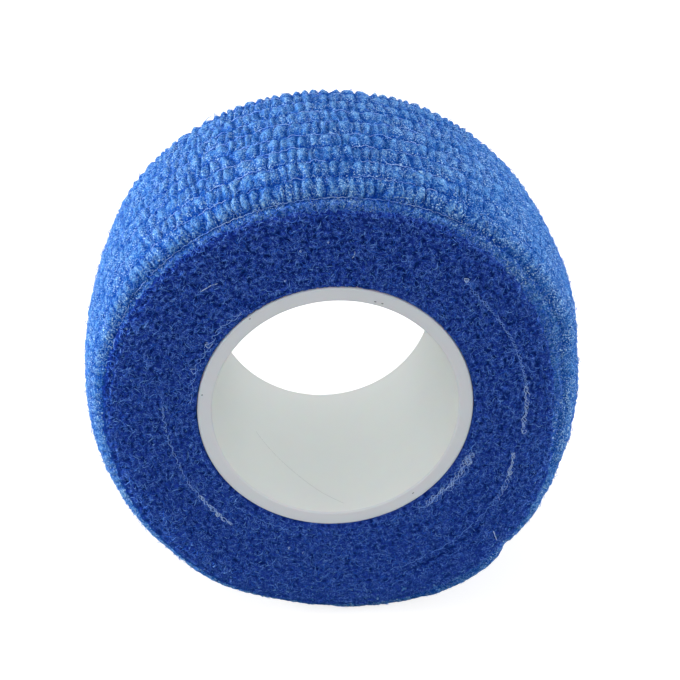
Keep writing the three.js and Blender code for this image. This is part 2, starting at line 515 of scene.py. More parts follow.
@dataclass
class Crepe:
    """The gathered tread: puffs of cloth between the elastic threads."""

    roll: Roll
    puffs: int = 150
    relief: float = 0.76
    edge_relief: float = 0.5
    floor: float = 0.26
    wool: float = 0.052
    painted_side_tone: float = 0.64
    seed: int = 11

    def __post_init__(self) -> None:
        """Draws each puff's height, lean and bulge, each crease's depth and the noises."""
        rng = np.random.default_rng(self.seed)
        rows = len(self.roll.threads) - 1
        shape = (rows, self.puffs)
        self.shift = rng.uniform(-0.5, 0.5, rows)
        self.top = rng.uniform(0.95, 1.03, shape)
        self.crease = rng.uniform(0.0, 0.5, shape) ** 1.2
        self.lean = rng.uniform(-0.3, 0.3, shape)
        self.bulge = 2.0 ** rng.uniform(-0.7, 0.7, shape)
        self.fold_at = rng.uniform(0.32, 0.68, shape)
        self.fold_depth = np.clip(rng.uniform(-0.3, 0.6, shape), 0.0, None)
        self.wander = Ripple(self.seed + 1, 40, 16)
        self.wriggle = Ripple(self.seed + 2, self.puffs, 64)
        self.coarse = Ripple(self.seed + 3, 330, 128)
        self.fine = Ripple(self.seed + 4, 640, 256)
        self.dents = Ripple(self.seed + 5, 220, 64)
        self.closing = Ripple(self.seed + 6, 130, 64)

    def row_of(self, run: Array) -> Array:
        """The row coordinate: 0 at the first thread and one more at each thread behind it."""
        return np.interp(run, self.roll.threads, np.arange(len(self.roll.threads)))

    def phase(self, turn: Array, row: Array) -> Array:
        """Counts puffs round the roll: an even count, shifted by row and bent by two noises.

        Args:
            turn: degrees back from the cut end.
            row: row coordinates, of the same shape.

        Returns:
            The number of the puff, and as its fraction the place in it.
        """
        count = turn / 360.0 * self.puffs
        band = np.clip(np.floor(row).astype(int), 0, len(self.shift) - 1)
        slow = 0.9 * self.wander.at(turn / 9.0, band * 3.3 + 0.12 * row + 0.37)
        quick = 0.3 * self.wriggle.at(count, row * 1.7)
        return count + 0.8 * self.shift[band] + slow + quick

    def height(self, turn: Array, run: Array) -> Array:
        """The crepe's height from 0 at the deepest to about 1 on a puff.

        Across a row each puff is a steep pillow, pushed to one side by its bulge, on a floor
        that is what the thread leaves. Round the roll it is a pillow too, which leans, and
        rises from the depth of its crease to the height of its own top. Some puffs are
        parted by a slanting fold, a bell-shaped dip. One noise closes the creases here and
        there, and another dents the whole.

        Args:
            turn: degrees back from the cut end.
            run: millimetres along the tread's section.

        Returns:
            Heights of the same shape.
        """
        row = self.row_of(run)
        band = np.clip(np.floor(row).astype(int), 0, len(self.shift) - 1)
        count = self.phase(turn, row)
        puff = np.floor(count).astype(int)
        of_puff = band, puff % self.puffs
        crease = self.crease[band, np.round(count).astype(int) % self.puffs]
        closing = smoothstep(0.15, 0.85, self.closing.around(turn, run / 1.2))
        crease = crease + (0.8 - crease) * closing
        share = count - puff
        top = self.top[of_puff] + self.lean[of_puff] * (share - 0.5)
        round_roll = crease + (top - crease) * dome(share, 0.75)
        slant = 0.5 * self.lean[of_puff] * (row - band - 0.5)
        beside = (share - self.fold_at[of_puff] - slant) / 0.1
        round_roll -= self.fold_depth[of_puff] * np.exp(-(beside**2))
        across = dome(np.clip(row - band, 0.0, 1.0) ** self.bulge[of_puff], 0.6)
        across = np.minimum(across, dome(row - band, 0.5))
        dents = smoothstep(0.15, 0.75, self.dents.around(turn, run / 0.7))
        return (self.floor + (1.0 - self.floor) * across) * round_roll * (1.0 - 0.4 * dents)

    def rise(self, turn: Array, run: Array) -> tuple[Array, Array]:
        """The tread's displacement along its normal.

        It is the relief below the crest times what the height leaves, plus two grains of wool.
        The relief is shallower at the first thread, low down, under the roll, towards the back
        and on the left and right sides. Past the outer threads a soft rim with low gathers
        takes over. The tone follows the height, and on the rim the gathers, so it paints shade
        into the creases and highlights onto the puffs; on the left and right sides, where the
        side lights fall, it is drawn towards one middle value, which evens that painted shade
        and highlight out.

        Args:
            turn, run: arrays of one shape.

        Returns:
            Millimetres of displacement, and the tone, 0 in a crevice and about 1 on a crest, which sets the
            painted crease shade and crest highlight.
        """
        threads = self.roll.threads
        row = self.row_of(run)
        height = self.height(turn, run)
        angle = self.roll.angle(turn)
        upward = np.sin(angle)
        right = smoothstep(0.3, 0.9, np.cos(angle))
        left = smoothstep(0.4, 1.0, -np.cos(angle))
        edge = self.edge_relief * (0.58 + 0.42 * upward)
        inner = self.relief * (0.75 + 0.25 * upward)
        relief = edge + (inner - edge) * np.clip(0.7 * row, 0.0, 1.0)
        relief = relief * (1.0 - 0.7 * self.roll.press(turn)) * (1.0 - 0.12 * smoothstep(4.0, 7.5, row))
        relief = relief * (1.0 - 0.4 * right - 0.2 * left)
        wool = self.coarse.around(turn, run / 0.52) + 0.8 * self.fine.around(turn, run / 0.27)
        rim = smoothstep(0.0, 0.35, threads[0] - run)
        back = smoothstep(0.0, 0.8, run - threads[-1])
        soft = np.maximum(rim, back)
        gathers = dome(self.phase(turn, row) % 1.0, 0.8)
        fading = np.clip((threads[0] - run) / threads[0], 0.0, 1.0)
        gathered = 0.36 + 0.62 * gathers * (1.0 - 0.7 * fading) + 0.05 * fading
        level = height * (1.0 - soft) + soft * gathered
        grain = self.wool * (1.0 + 0.3 * soft)
        # Painted light: on the left and right sides the painted crease shade and crest highlight are drawn
        # towards a middle tone.
        tone = level + (0.5 * right + 0.22 * left) * (self.painted_side_tone - level)
        return 0.02 - relief * (1.0 - level) + grain * wool, np.clip(tone + 0.18 * wool, 0.0, 1.2)

    def points(self, turn: Array, run: Array) -> tuple[Array, Array]:
        """Places points of the tread in the frame, in metres, and gives their tones too."""
        rise, tone = self.rise(turn, run)
        return self.roll.raised(turn, run, rise), tone


# Where the dark felt of the front face ends: degrees from +X towards +Z, then millimetres.
FELT_RIM = np.array(
    [
        (-180, 24.6), (-165, 24.5), (-140, 25.3), (-120, 25.9), (-90, 26.3), (-75, 26.7),
        (-60, 26.9), (-50, 26.6), (-40, 26.2), (-22, 25.1), (-6, 23.5), (10, 23.3), (30, 23.6),
        (60, 23.7), (80, 23.1), (95, 23.0), (105, 23.3), (120, 23.8), (140, 24.2), (160, 24.3), (180, 24.6),
    ],
    dtype=[("angle", float), ("radius", float)],
)


@dataclass
class EdgeFace:
    """An end face of the winding: the felted edges of all its turns."""

    roll: Roll
    end: End
    ridge: float = 0.07
    streak: float = 0.11
    wool: float = 0.1
    pit: float = 0.22
    seed: int = 31

    def __post_init__(self) -> None:
        """Draws the noises."""
        self.bend = Ripple(self.seed, 64, 64)
        self.coarse = Ripple(self.seed + 1, 128, 128)
        self.fine = Ripple(self.seed + 2, 256, 256)
        self.holes = Ripple(self.seed + 3, 128, 128)
        self.folds = Ripple(self.seed + 4, 132, 64)

    def rim_radius(self, turn: Array) -> Array:
        """Where the face's dark felt ends.

        Args:
            turn: degrees back from the cut end.

        Returns:
            Millimetres from the axis.
        """
        if self.end is End.BACK:
            return CROWN["radius"][-1] + self.roll.stand_off(turn, np.full_like(turn, self.roll.width))
        angle = (self.roll.tail_angle - turn + 180.0) % 360.0 - 180.0
        edge = np.interp(angle, FELT_RIM["angle"], FELT_RIM["radius"])
        return edge + 0.22 * self.folds.around(turn, 7.3)

    def outward(self, turn: Array, radius: Array) -> tuple[Array, Array]:
        """Works out the face's relief.

        The turns lie one layer apart on a spiral, bent by a slow noise, and each bulges as a
        pillow. Folds run along the turns, two grains of wool lie on them, and pits open where
        another noise is high. On the front face a groove runs behind the cut end, where the
        outer turn has lifted.

        Args:
            turn: degrees back from the cut end.
            radius: millimetres from the axis.

        Returns:
            Millimetres outwards, and a height from 0 to 1 that colours the face: it follows the relief, so it
            paints shade into the pits, the groove and the hollows between the turns.
        """
        roll = self.roll
        angle = roll.angle(turn)
        x, z = radius * np.cos(angle) + 60.0, radius * np.sin(angle) + 60.0
        bend = self.bend.at(x / 1.6, z / 1.6)
        layers = (radius - roll.hole) / roll.layer + turn / 360.0 + 0.35 * bend
        ridge = dome(layers - np.floor(layers), 0.8)
        folds = self.folds.around(turn, radius / 0.3 + 0.8 * bend)
        wool = self.coarse.at(x / 0.5, z / 0.5) + 0.8 * self.fine.at(x / 0.27, z / 0.27)
        pit = smoothstep(0.4, 0.8, self.holes.at(x / 0.6, z / 0.6) + 0.12 * (1.0 - ridge))
        beside = (radius - 22.2 - 0.02 * turn) / 0.16
        lifted = np.exp(-(beside**2)) * smoothstep(34.0, 20.0, turn)
        groove = (0.8 if self.end is End.FRONT else 0.0) * lifted
        wool, pit = wool * self.calm(turn), pit * self.calm(turn)
        out = self.ridge * ridge + self.streak * folds + self.wool * wool - self.pit * (pit + groove)
        # Painted shade: the colour's height is lower in the pits, the groove and between the turns, and
        # higher where the felt stands out.
        level = 0.46 + 0.24 * folds + 0.3 * wool + 0.16 * (ridge - 0.5) - 0.5 * (pit + groove)
        return out, np.clip(level, 0.0, 1.2)

    def calm(self, turn: Array) -> Array:
        """How much of its wool the felt shows: 0.86 plus 0.26 times the sine of the angle."""
        return 0.86 + 0.26 * np.sin(self.roll.angle(turn))

    def base_depth(self, turn: Array, radius: Array) -> Array:
        """Depth of the even form under the felt: flat, then back along the crown.

        Args:
            turn: degrees back from the cut end.
            radius: millimetres from the axis.

        Returns:
            Millimetres behind the front face.
        """
        if self.end is End.BACK:
            return np.full_like(radius, self.roll.width)
        even = radius - self.roll.stand_off(turn, np.full_like(turn, 0.3))
        firm = np.interp(even, CROWN["radius"][:6], CROWN["depth"][:6])
        soft = np.interp(even, CROWN["soft_radius"][:6], CROWN["soft_depth"][:6])
        return firm + self.roll.slump(turn) * (soft - firm)

    def points(self, turn: Array, share: Array) -> tuple[Array, Array]:
        """Places points of the face, whose colour is darkened where it ends on the left, as painted shade
        against the light that falls there.

        Args:
            turn: degrees back from the cut end.
            share: 0 at the core and 1 where the felt ends.

        Returns:
            Points in metres and their heights from 0 to 1.
        """
        roll = self.roll
        first = roll.core_radius + 0.06
        radius = first + share * (self.rim_radius(turn) - first)
        out, level = self.outward(turn, radius)
        tuck = 0.5 * smoothstep(0.96, 1.03, share) + 0.25 * smoothstep(0.02, -0.005, share)
        depth = self.base_depth(turn, radius) + self.end.value * (out + 0.06 - tuck)
        # Painted shade: the felt's colour is darkened near its rim on the left, where the left light falls.
        left = smoothstep(0.2, 0.9, -np.cos(roll.angle(turn)))
        level = level * (1.0 - 0.7 * left * smoothstep(0.93, 0.98, share))
        return roll.place(turn, radius, depth), level


# ---------------------------------------------------------------- finishes


def feed_socket(tree: Tree, socket: Socket, value: object) -> None:
    """Links a socket to the one given, or sets it to the plain value given.

    Args:
        tree: the node tree.
        socket: the input to be fed.
        value: another node's output, or a plain value.
    """
    if isinstance(value, Socket):
        tree.links.new(value, socket)
    else:
        socket.default_value = value


def feed(tree: Tree, node: bpy.types.Node, **values: object) -> None:
    """Feeds a node's inputs by name; an underscore in a name stands for a space."""
    for name, value in values.items():
        feed_socket(tree, node.inputs[name.replace("_", " ")], value)


def math_node(tree: Tree, operation: str, *values: object) -> Socket:
    """Adds a Math node, feeds its inputs in order, and gives its output.

    Args:
        tree: the node tree.
        operation: Blender's name for it.
        values: sockets, or plain values.

    Returns:
        The result.
    """
    node = tree.nodes.new("ShaderNodeMath")
    node.operation = operation
    for socket, value in zip(node.inputs, values):
        feed_socket(tree, socket, value)
    return node.outputs[0]


def noise_node(tree: Tree, vector: Socket, scale: float, detail: float) -> Socket:
    """Adds a Noise Texture of so many cells a metre and gives its value.

    Args:
        tree: the node tree.
        vector: where the noise is read, in metres.
        scale: cells a metre.
        detail: how many finer layers it adds.

    Returns:
        The noise, from 0 to 1.
    """
    node = tree.nodes.new("ShaderNodeTexNoise")
    feed(tree, node, Vector=vector, Scale=scale, Detail=detail, Roughness=0.62)
    return node.outputs["Fac"]


def blend_node(tree: Tree, share: Socket, low: object, high: object) -> Socket:
    """Mixes two colours by a share from 0 to 1.

    Args:
        tree: the node tree.
        share: 0 for the low colour and 1 for the high one.
        low, high: sockets or colours.

    Returns:
        The colour.
    """
    node = tree.nodes.new("ShaderNodeMix")
    node.data_type = "RGBA"
    for index, value in ((0, share), (6, low), (7, high)):
        feed_socket(tree, node.inputs[index], value)
    return node.outputs[2]


def ramp_node(tree: Tree, value: Socket, low: float, high: float) -> Socket:
    """Maps low..high to 0..1 smoothly.

    Args:
        tree: the node tree.
        value: the value to be mapped.
        low, high: what becomes 0 and 1.

    Returns:
        The mapped value.
    """
    node = tree.nodes.new("ShaderNodeMapRange")
    node.interpolation_type = "SMOOTHSTEP"
    feed(tree, node, From_Min=low, From_Max=high, Value=value)
    return node.outputs["Result"]


def bump_node(tree: Tree, height: Socket, strength: float, distance: float) -> Socket:
    """Adds a Bump node over a height, its distance in metres, and gives its normal.

    Args:
        tree: the node tree.
        height: heights from 0 to 1.
        strength: how much of it shows.
        distance: the height's full size, in metres.

    Returns:
        The normal.
    """
    node = tree.nodes.new("ShaderNodeBump")
    feed(tree, node, Strength=strength, Distance=distance, Height=height)
    return node.outputs["Normal"]


def attribute_node(tree: Tree, name: str) -> Socket:
    """Reads a float attribute of the piece.

    Args:
        tree: the node tree.
        name: the attribute's name.

    Returns:
        Its value.
    """
    node = tree.nodes.new("ShaderNodeAttribute")
    node.attribute_name = name
    return node.outputs["Fac"]


def object_coordinates(tree: Tree) -> Socket:
    """Gives the piece's own Object coordinates."""
    return tree.nodes.new("ShaderNodeTexCoord").outputs["Object"]


def curl_lines(tree: Tree, vector: Socket, scale: float) -> Socket:
    """Thin curly lines where a noise crosses its middle value, fading with the distance from it.

    Args:
        tree: the node tree.
        vector: where the noise is read, in metres.
        scale: cells a metre.

    Returns:
        1 on a line and 0 beside it.
    """
    noise = noise_node(tree, vector, scale, 1.0)
    away = math_node(tree, "ABSOLUTE", math_node(tree, "SUBTRACT", noise, 0.5))
    return ramp_node(tree, math_node(tree, "MULTIPLY", away, -1.0), -0.035, -0.004)


def felt_group() -> Tree:
    """The look of matted fine fibres, as a group built once.

    A height from 0 to 1 is stirred by a mottle and a grain of noise. It picks between a
    crevice, a body and a crest colour: the dark crevice colour is painted shade and the pale
    crest colour partly a painted highlight. Curls and specks of a paler fibre lie over them
    only where the height is high, so they are partly painted glints, and the same noises
    make the bump's height.

    Returns:
        The group.
    """
    made = bpy.data.node_groups.get("matted_fibres")
    if made:
        return made
    group = bpy.data.node_groups.new("matted_fibres", "ShaderNodeTree")
    ways = (
        ("INPUT", "Vector", ("Vector",)),
        ("INPUT", "Float", ("Level", "Stir", "Grain", "Curls", "Flecks")),
        ("INPUT", "Color", ("Crevice", "Body", "Crest", "Fibre")),
        ("OUTPUT", "Color", ("Color",)),
        ("OUTPUT", "Float", ("Height",)),
    )
    for way, kind, names in ways:
        for name in names:
            group.interface.new_socket(name=name, in_out=way, socket_type=f"NodeSocket{kind}")
    given = group.nodes.new("NodeGroupInput").outputs
    out = group.nodes.new("NodeGroupOutput").inputs
    mottle = noise_node(group, given["Vector"], 1500.0, 3.0)
    grain = noise_node(group, given["Vector"], 6000.0, 1.5)
    fine = math_node(group, "MULTIPLY", math_node(group, "SUBTRACT", grain, 0.5), given["Grain"])
    both = math_node(group, "ADD", mottle, fine)
    centred = math_node(group, "SUBTRACT", both, 0.5)
    stirred = math_node(group, "MULTIPLY_ADD", centred, given["Stir"], given["Level"])
    # Painted shade: the crevice colour darkens the creases; the crest colour is partly a painted highlight.
    body = blend_node(group, ramp_node(group, stirred, 0.05, 0.65), given["Crevice"], given["Body"])
    crest = blend_node(group, ramp_node(group, stirred, 0.6, 1.15), body, given["Crest"])
    wide, narrow = (curl_lines(group, given["Vector"], scale) for scale in (1900.0, 2700.0))
    lines = math_node(group, "MAXIMUM", wide, narrow)
    # Curls and fleck glints show only where the height is high: painted highlights on the crests.
    raised = ramp_node(group, stirred, 0.25, 0.85)
    curls = math_node(group, "MULTIPLY", math_node(group, "MULTIPLY", lines, raised), given["Curls"])
    curled = blend_node(group, curls, crest, given["Fibre"])
    patches = ramp_node(group, noise_node(group, given["Vector"], 420.0, 1.0), 0.36, 0.62)
    high = math_node(group, "MULTIPLY", ramp_node(group, grain, 0.57, 0.67), patches)
    high = math_node(group, "MULTIPLY", high, raised)
    flecks = math_node(group, "MULTIPLY", high, given["Flecks"])
    group.links.new(blend_node(group, flecks, curled, given["Fibre"]), out["Color"])
    group.links.new(math_node(group, "MULTIPLY_ADD", lines, 0.5, both), out["Height"])
    return group


@dataclass(frozen=True)
class Finish:
    """What every finish has: a name, and a material that is built once."""

    name: str

    def material(self) -> bpy.types.Material:
        """Gives the finish's material, and builds it the first time.

        Returns:
            The material.
        """
        made = bpy.data.materials.get(self.name)
        if made is None:
            made = bpy.data.materials.new(self.name)
            made.use_nodes = True
            self.wire(made.node_tree, made.node_tree.nodes["Principled BSDF"])
        return made

    def wire(self, tree: Tree, shader: bpy.types.Node) -> None:
        """Feeds the Principled shader; each finish has its own way."""
        raise NotImplementedError


@dataclass(frozen=True)
class FeltFinish(Finish):
    """Matted cloth, with painted shade in its crevices and painted highlights on its crests."""

    crevice: Colour
    body: Colour
    crest: Colour
    fibre: Colour
    stir: float = 0.9
    grain: float = 2.0
    curls: float = 0.5
    flecks: float = 0.5
    bump: float = 0.00015
    sheen: float = 0.25
    glow: Colour = srgb(40, 172, 255)

    def wire(self, tree: Tree, shader: bpy.types.Node) -> None:
        """Lays the group's colour and bump on, reading the piece's level and stir attributes.

        Args:
            tree: the material's node tree.
            shader: its Principled shader.
        """
        felt = tree.nodes.new("ShaderNodeGroup")
        felt.node_tree = felt_group()
        feed(
            tree, felt, Vector=object_coordinates(tree), Level=attribute_node(tree, "level"),
            Stir=math_node(tree, "MULTIPLY", attribute_node(tree, "stir"), self.stir), Grain=self.grain,
            Crevice=self.crevice, Body=self.body, Crest=self.crest, Fibre=self.fibre,
            Curls=self.curls, Flecks=self.flecks,
        )
        feed(
            tree, shader, Normal=bump_node(tree, felt.outputs["Height"], 0.8, self.bump),
            Base_Color=felt.outputs["Color"], Roughness=0.85,
            Specular_IOR_Level=0.06, Specular_Tint=srgb(60, 150, 255),
            Sheen_Weight=self.sheen, Sheen_Roughness=0.4, Sheen_Tint=self.glow,
        )


@dataclass(frozen=True)
class StrandFinish(Finish):
    """Thin fibres and threads, each one of its own tone between two colours."""

    dull: Colour
    bright: Colour
    roughness: float = 0.6
    sheen: float = 0.0

    def wire(self, tree: Tree, shader: bpy.types.Node) -> None:
        """Mixes the colours by the tone attribute and a little noise.

        Args:
            tree: the material's node tree.
            shader: its Principled shader.
        """
        noise = noise_node(tree, object_coordinates(tree), 1800.0, 2.0)
        stirred = math_node(tree, "MULTIPLY_ADD", noise, 0.5, attribute_node(tree, "tone"))
        share = ramp_node(tree, stirred, 0.2, 1.3)
        feed(
            tree, shader, Base_Color=blend_node(tree, share, self.dull, self.bright),
            Roughness=self.roughness, Specular_IOR_Level=0.1, Specular_Tint=srgb(120, 180, 255),
            Sheen_Weight=self.sheen, Sheen_Tint=srgb(150, 190, 255),
        )


@dataclass(frozen=True)
class PlasticFinish(Finish):
    """Satin plastic: a smooth wall with a faint cloud, and greyer ends with the grain of the saw. The wall's
    whiter colour partly paints light into the bore; the ends' bluer grey is partly the plastic's own tint.
    """

    wall: Colour
    end: Colour
    roughness: float = 0.5

    def wire(self, tree: Tree, shader: bpy.types.Node) -> None:
        """Mixes wall and end by the cut attribute: how far each place belongs to a cut end.

        Args:
            tree: the material's node tree.
            shader: its Principled shader.
        """
        where = object_coordinates(tree)
        cloud = noise_node(tree, where, 130.0, 2.0)
        grain = noise_node(tree, where, 5200.0, 2.0)
        cut = attribute_node(tree, "cut")
        share = math_node(tree, "MULTIPLY_ADD", math_node(tree, "SUBTRACT", cloud, 0.5), 0.5, cut)
        feed(
            tree, shader, Base_Color=blend_node(tree, ramp_node(tree, share, -0.1, 1.0), self.wall, self.end),
            Roughness=math_node(tree, "MULTIPLY_ADD", share, 0.2, self.roughness),
            Normal=bump_node(tree, math_node(tree, "MULTIPLY", grain, cut), 0.3, 0.00003),
            Specular_IOR_Level=0.3, Subsurface_Weight=0.2, Subsurface_Scale=0.002,
        )


@dataclass(frozen=True)
class FloorFinish(Finish):
    """A matt floor whose grey and glow differ for the camera and for the light it throws back."""

    thrown: Colour
    seen: Colour
    glow: float

    def wire(self, tree: Tree, shader: bpy.types.Node) -> None:
        """Switches colour and emission by whether the ray comes from the camera.

        Args:
            tree: the material's node tree.
            shader: its Principled shader.
        """
        feed(tree, shader, Roughness=0.9, Emission_Color=(1.0, 1.0, 1.0, 1.0))
        seen = tree.nodes.new("ShaderNodeLightPath").outputs["Is Camera Ray"]
        feed(tree, shader, Emission_Strength=math_node(tree, "MULTIPLY", seen, self.glow))
        feed(tree, shader, Base_Color=blend_node(tree, seen, self.thrown, self.seen))


# Crepe felt: the crevice colour is painted shade in the creases; the crest colour and the fibre's glints are
# partly painted highlights.
TREAD_FELT = FeltFinish(
    "crepe_blue", srgb(9, 56, 164), srgb(46, 106, 200), srgb(104, 166, 236), srgb(194, 228, 255),
    stir=0.8, grain=2.6, curls=0.4, flecks=1.0, bump=0.00024, sheen=0.26, glow=srgb(64, 190, 255),
)
# Edge felt: the crevice colour is painted shade in the pits and between the turns; the crest colour is partly
# a painted highlight.
EDGE_FELT = FeltFinish(
    "edge_blue", srgb(13, 34, 118), srgb(36, 66, 170), srgb(62, 102, 210), srgb(118, 162, 248),
    stir=1.1, grain=0.8, curls=0.9, flecks=0.4, bump=0.0002,
)
FIBRE_BLUE = StrandFinish("fibre_blue", srgb(34, 94, 212), srgb(134, 188, 255))
THREAD_LILAC = StrandFinish("elastic_lilac", srgb(92, 152, 246), srgb(186, 216, 255), 0.5, 0.3)
FILAMENT_WHITE = StrandFinish("filament_white", srgb(84, 152, 255), srgb(196, 224, 255), 0.5, 0.5)
# The wall is whiter than the ends partly as painted light in the bore.
CORE_WHITE = PlasticFinish("core_satin_white", srgb(246, 250, 248), srgb(225, 229, 234))
MARK_GREY = StrandFinish("mark_grey", srgb(110, 114, 120), srgb(206, 210, 210))
FLOOR_WHITE = FloorFinish("floor_white", (0.16, 0.16, 0.16, 1.0), (0.34, 0.34, 0.34, 1.0), 0.78)


def dress(thing: Piece, material: bpy.types.Material, node: str) -> Piece:
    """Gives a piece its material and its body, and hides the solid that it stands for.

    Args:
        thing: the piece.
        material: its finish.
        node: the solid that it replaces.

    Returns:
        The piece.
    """
    thing.data.materials.append(material)
    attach(thing, BODY)
    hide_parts(node)
    LOG.info("%s: %d vertices, %d faces", thing.name, len(thing.data.vertices), len(thing.data.polygons))
    return thing


# ---------------------------------------------------------------- the core


@dataclass
class CoreTube:
    """The plastic tube that the bandage is wound on."""

    roll: Roll
    sides: int = 240
    edge: float = 0.22
    saw: float = 0.02
    wall_steps: tuple[float, ...] = (0.003, 0.03, 0.25, 0.5, 0.75, 0.97, 0.997)
    end_steps: tuple[float, ...] = (0.03, 0.5, 0.97)

    def build(self) -> list[Piece]:
        """Builds and dresses the tube and its marks."""
        return [self.tube(), self.marks()]

    def section(self) -> tuple[Array, Array]:
        """The wall's section: a rectangle whose corners are quarter circles.

        Returns:
            Radii and depths once round it, in millimetres.
        """
        roll = self.roll
        inner, outer = roll.core_radius - roll.core_wall, roll.core_radius
        corners = (
            (outer - self.edge, roll.width - self.edge, 0.0),
            (inner + self.edge, roll.width - self.edge, 90.0),
            (inner + self.edge, self.edge, 180.0),
            (outer - self.edge, self.edge, 270.0),
        )
        radii, depths = [], []
        for k, (radius, depth, start) in enumerate(corners):
            angle = np.radians(start + np.linspace(0.0, 90.0, 6))
            radii.append(radius + self.edge * np.cos(angle))
            depths.append(depth + self.edge * np.sin(angle))
            after = corners[(k + 1) % 4]
            along_wall = k in (1, 3)
            steps = np.array(self.wall_steps if along_wall else self.end_steps)
            end = np.radians(start + 90.0)
            radii.append(radius + self.edge * np.cos(end) + (after[0] - radius) * steps)
            depths.append(depth + self.edge * np.sin(end) + (after[1] - depth) * steps)
        return np.concatenate(radii), np.concatenate(depths)

    def tube(self) -> Piece:
        """Turns the section about the axis; noise of the saw cut roughens the two ends.

        Returns:
            The tube.
        """
        radius, depth = self.section()
        turn = np.linspace(0.0, 360.0, self.sides, endpoint=False)
        turns, radii = np.meshgrid(turn, radius, indexing="ij")
        depths = np.broadcast_to(depth, radii.shape)
        middle = self.roll.width / 2
        ends = smoothstep(middle - 0.3, middle - 0.05, np.abs(depths - middle))
        cut = Ripple(5, 60, 60).at(turns / 6.0, radii * 3.0) * self.saw * ends
        points = self.roll.place(turns, radii, depths + cut).reshape(-1, 3)
        faces = facing_out(points, ring_quads(self.sides, len(radius)))
        thing = mesh_object("core_tube", points, [faces], {"cut": ends})
        return dress(thing, CORE_WHITE.material(), "core")

    def marks(self) -> Piece:
        """Specks on the front rim and one hairline scratch on the inner wall.

        The scratch's stations are angle and depth, and a speck is angle, radius and length.

        Returns:
            The marks.
        """
        roll = self.roll
        inner = roll.core_radius - roll.core_wall
        stations = np.array([(-131.5, 12.3), (-122.0, 10.0), (-109.5, 7.15), (-97.0, 4.1), (-84.8, 1.5)])
        share = np.linspace(0.0, len(stations) - 1, 40)
        order = np.arange(len(stations))
        angle = np.interp(share, order, stations[:, 0])
        depth = np.interp(share, order, stations[:, 1])
        scratch = roll.place_angle(angle, inner + 0.012, depth)
        towards_axis = np.stack([-np.cos(np.radians(angle)), 0.0 * angle, -np.sin(np.radians(angle))], -1)
        parts = [tubes(scratch[None], towards_axis[None], np.full((1, 40), 0.03 * MM), 4)]
        specks = np.array([
            (72.7, 13.5, 0.30), (69.4, 13.5, 0.26), (169.9, 14.2, 0.24), (127.7, 14.3, 0.22),
            (-52.0, 13.7, 0.3),
        ])
        lengths = np.linspace(-0.5, 0.5, 6)
        angles = specks[:, :1] + np.degrees(specks[:, 2:] / specks[:, 1:2]) * lengths
        paths = roll.place_angle(angles, specks[:, 1:2], 0.02)
        parts.append(tubes(paths, along_y(paths, -1.0), np.full(angles.shape, 0.07 * MM), 5))
        points, faces = joined(parts)
        tone = np.where(np.arange(len(points)) < len(parts[0][0]), 0.9, 0.2)
        thing = mesh_object("core_marks", points, faces, {"tone": tone})
        return dress(thing, MARK_GREY.material(), "core")


# ---------------------------------------------------------------- the cloth


@dataclass
class OuterTurn:
    """The outermost turn of crepe, as a front ring and a back ring that meet under a thread."""

    crepe: Crepe
    columns: int = 1280
    band_rows: int = 14
    rim_rows: int = 16
    split: int = 4
    under: float = 1.6
    lip: float = 0.9

    def build(self) -> list[Piece]:
        """Builds and dresses both rings in one material.

        Returns:
            The front ring and the back ring.
        """
        material = TREAD_FELT.material()
        threads, end = self.crepe.roll.threads, self.crepe.roll.curve["run"]
        lip = np.linspace(-self.lip, threads[0], 7)[:-1]
        rim = np.linspace(threads[-1], end[-1] - 0.1, self.rim_rows)[1:]
        front = np.concatenate([lip, self.bands(0, self.split)])
        back = np.concatenate([self.bands(self.split, len(threads) - 1), rim])
        return [
            dress(self.ring("outer_turn_front", front), material, "bandage"),
            dress(self.ring("outer_turn_back", back), material, "bandage"),
        ]

    def bands(self, first: int, last: int) -> Array:
        """Rows between threads, closer together by a cosine where the cloth dips to each thread.

        Args:
            first, last: the threads that the rows start and end at.

        Returns:
            The rows' places along the tread's section, in millimetres.
        """
        share = 0.5 - 0.5 * np.cos(np.pi * np.arange(self.band_rows) / self.band_rows)
        threads = self.crepe.roll.threads
        rows = [threads[k] + share * (threads[k + 1] - threads[k]) for k in range(first, last)]
        return np.concatenate([*rows, threads[last : last + 1]])

    def ring(self, name: str, run: Array) -> Piece:
        """Carries the rows round the roll and closes the section with three rows inside it.

        Args:
            name: the ring's name.
            run: the rows' places along the tread's section, in millimetres.

        Returns:
            The ring.
        """
        roll, crepe = self.crepe.roll, self.crepe
        turns, runs = np.meshgrid(roll.turns(self.columns), run, indexing="ij")
        outside, level = crepe.points(turns, runs)
        depth = np.interp(run, roll.curve["run"], roll.curve["depth"])
        radius = np.interp(run, roll.curve["run"], roll.curve["radius"])
        order = np.arange(len(run))
        chosen = np.linspace(len(run) - 1, 0, 3)
        inner_depth = np.interp(chosen, order, np.clip(depth, 0.6, roll.width - 0.6))
        inner_radius = np.minimum(np.interp(chosen, order, radius), 25.6) - self.under
        back_turns, back_depths = np.meshgrid(roll.turns(self.columns), inner_depth, indexing="ij")
        inside = roll.place(back_turns, inner_radius, back_depths)
        return shell(name, outside, inside, level, np.ones_like(level))


@dataclass
class TurnEdges:
    """The edges of all the turns at one end, down to the middle of the roll."""

    face: EdgeFace
    columns: int
    rows: int

    def build(self) -> Piece:
        """Builds and dresses the ring of wound edges.

        Returns:
            The ring.
        """
        roll = self.face.roll
        share = np.linspace(0.0, 1.05, self.rows)
        turns, shares = np.meshgrid(roll.turns(self.columns), share, indexing="ij")
        outside, level = self.face.points(turns, shares)
        far, near = CROWN["radius"][0] - 0.6, roll.hole
        inner_radius = np.array([far, (far + near) / 2, near])
        back_turns, back_radii = np.meshgrid(roll.turns(self.columns), inner_radius, indexing="ij")
        inside = roll.place(back_turns, back_radii, roll.width / 2)
        name = f"turn_edges_{self.face.end.name.lower()}"
        thing = shell(name, outside, inside, level, self.face.calm(turns))
        return dress(thing, EDGE_FELT.material(), "bandage")


